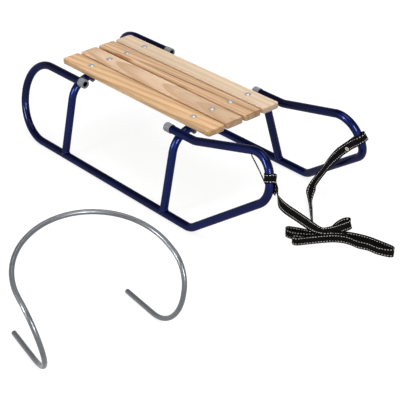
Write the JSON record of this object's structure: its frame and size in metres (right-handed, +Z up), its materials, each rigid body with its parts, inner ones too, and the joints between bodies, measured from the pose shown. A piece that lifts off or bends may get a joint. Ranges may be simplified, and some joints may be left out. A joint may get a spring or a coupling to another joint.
{
  "type": "metal sled with wooden seat",
  "caption": "Sled with bent tube runners, a slatted wooden seat, a webbing pull strap and a lift-off rod backrest standing beside it.",
  "frame": {"origin": "on the ground in the sled's mirror plane, midway between the two arches", "axes": "+X forward towards the noses, +Y to the rider's left, +Z up"},
  "size_m": [1.0038, 0.8836, 0.2368],
  "materials": {
    "frame_paint": "gloss dark blue enamel",
    "sleeve_plastic": "satin grey moulded plastic",
    "slat_wood": "thin clear lacquer on pale softwood",
    "zinc_steel": "bright zinc plate",
    "rod_paint": "silver-grey semi-gloss powder coat",
    "webbing": "black woven webbing with pale stitching",
    "eyelet_metal": "bright plated eyelet"
  },
  "bodies": {
    "root": {"runner_rear_left": "frame_paint", "runner_ground_left": "frame_paint", "runner_nose_left": "frame_paint", "runner_rear_right": "frame_paint", "runner_ground_right": "frame_paint", "runner_nose_right": "frame_paint", "rear_arch": "frame_paint", "front_arch": "frame_paint", "rear_sleeve_left": "sleeve_plastic", "rear_sleeve_right": "sleeve_plastic", "front_sleeve_left": "sleeve_plastic", "front_sleeve_right": "sleeve_plastic", "seat_slat_1": "slat_wood", "seat_slat_2": "slat_wood", "seat_slat_3": "slat_wood", "seat_slat_4": "slat_wood", "rear_bolt_1": "zinc_steel", "rear_nut_1": "zinc_steel", "rear_bolt_2": "zinc_steel", "rear_nut_2": "zinc_steel", "rear_bolt_3": "zinc_steel", "rear_nut_3": "zinc_steel", "rear_bolt_4": "zinc_steel", "rear_nut_4": "zinc_steel", "front_bolt_1": "zinc_steel", "front_nut_1": "zinc_steel", "front_bolt_2": "zinc_steel", "front_nut_2": "zinc_steel", "front_bolt_3": "zinc_steel", "front_nut_3": "zinc_steel", "front_bolt_4": "zinc_steel", "front_nut_4": "zinc_steel", "backrest": "rod_paint", "strap_loop_left": "webbing", "strap_run_left": "webbing", "strap_loop_right": "webbing", "strap_run_right": "webbing", "strap_bundle": "webbing", "strap_eyelet": "eyelet_metal"}
  },
  "joints": []
}
